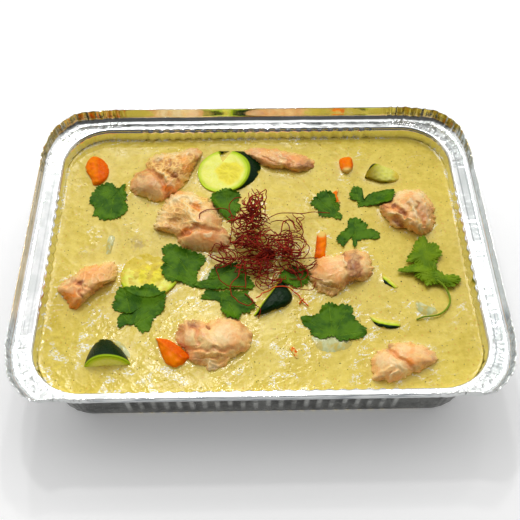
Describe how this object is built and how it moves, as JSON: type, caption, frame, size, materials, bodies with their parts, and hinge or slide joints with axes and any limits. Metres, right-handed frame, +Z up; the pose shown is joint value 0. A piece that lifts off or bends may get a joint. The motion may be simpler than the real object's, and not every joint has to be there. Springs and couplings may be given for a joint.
{
  "type": "thai green curry",
  "caption": "Thai green curry in a rectangular foil catering tray, with chicken, zucchini, carrot, onion, coriander leaves and a nest of chilli threads.",
  "frame": {"origin": "centre of the tray's footprint, on the plane it stands on", "axes": "+X along the tray's long side, to the right seen from the front; +Y from the front long side to the back one; +Z up, out of the tray's mouth"},
  "size_m": [0.32, 0.2434, 0.0722],
  "materials": {
    "foil": "bright, fluted and crinkled foil",
    "sauce": "wet, opaque coconut curry sauce with specks",
    "chicken": "moist cooked chicken",
    "zucchini": "wet cut flesh with dark green skin",
    "carrot": "wet cut carrot",
    "onion": "translucent cooked onion",
    "coriander": "fresh leaf",
    "chilli": "fine dried threads"
  },
  "bodies": {
    "root": {"carrot_back_left": "carrot", "carrot_back_right": "carrot", "carrot_by_leaf": "carrot", "carrot_front_centre": "carrot", "carrot_front_left": "carrot", "carrot_stick": "carrot", "chicken_back_centre": "chicken", "chicken_back_left": "chicken", "chicken_centre_left": "chicken", "chicken_centre_right": "chicken", "chicken_front_centre": "chicken", "chicken_front_right": "chicken", "chicken_left": "chicken", "chicken_right": "chicken", "chilli_threads": "chilli", "coriander_back_centre": "coriander", "coriander_back_left": "coriander", "coriander_back_right": "coriander", "coriander_by_nest": "coriander", "coriander_centre": "coriander", "coriander_centre_front": "coriander", "coriander_centre_right": "coriander", "coriander_front_left": "coriander", "coriander_front_right": "coriander", "coriander_left_of_centre": "coriander", "coriander_right_of_centre": "coriander", "coriander_sprig": "coriander", "coriander_stalk": "coriander", "curry_sauce": "sauce", "foil_tray": "foil", "onion_centre": "onion", "onion_front_centre": "onion", "onion_front_left": "onion", "onion_left": "onion", "onion_right": "onion", "zucchini_back_right": "zucchini", "zucchini_centre": "zucchini", "zucchini_crescent": "zucchini", "zucchini_crescent_small": "zucchini", "zucchini_front_left": "zucchini", "zucchini_half_sunk": "zucchini", "zucchini_round": "zucchini"}
  },
  "joints": []
}
